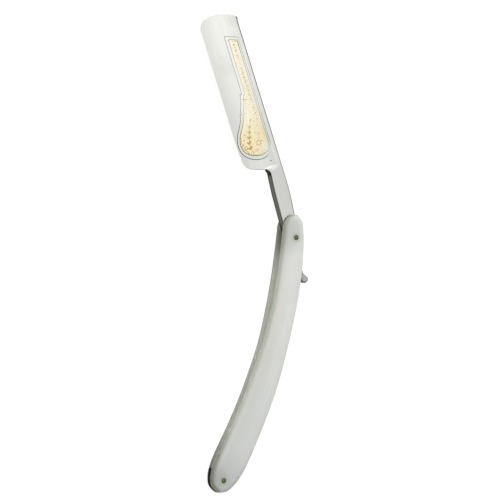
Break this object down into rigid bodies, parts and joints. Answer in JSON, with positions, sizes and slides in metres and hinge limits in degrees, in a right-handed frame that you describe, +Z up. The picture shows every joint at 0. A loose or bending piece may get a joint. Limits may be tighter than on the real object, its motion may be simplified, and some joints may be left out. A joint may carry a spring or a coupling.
{
  "type": "straight razor",
  "caption": "Folding straight razor, lying open: a hollow-ground blade with a round point, pivoted between two curved pale scales held by a black wedge.",
  "frame": {"origin": "on the pivot axis, where it meets the back scale's flat outer face, on which the razor lies", "axes": "+Y from the wedge pin's axis to the pivot axis, +Z up out of the front scale, -X the concave side, which the blade folds in from"},
  "size_m": [0.1003, 0.2373, 0.0111],
  "materials": {
    "blade_steel": "polished, hollow ground",
    "scale_celluloid": "polished pale celluloid",
    "wedge_black": "polished black",
    "pin_brass": "tarnished",
    "collar_brass": "dark patina",
    "washer_brass": "plain sheet"
  },
  "bodies": {
    "handle": {"front_scale": "scale_celluloid", "back_scale": "scale_celluloid", "wedge": "wedge_black", "pivot_pin": "pin_brass", "wedge_pin": "pin_brass", "front_washer": "washer_brass", "back_washer": "washer_brass", "front_pivot_collar": "collar_brass", "back_pivot_collar": "collar_brass", "front_wedge_collar": "collar_brass", "back_wedge_collar": "collar_brass"},
    "blade": {"blade": "blade_steel"}
  },
  "joints": [
    {"name": "blade_pivot", "type": "hinge", "parent": "handle", "child": "blade", "pos_m": [0, 0, 0.0054], "axis": [0, 0, 1], "range_deg": [-190, 138]}
  ]
}
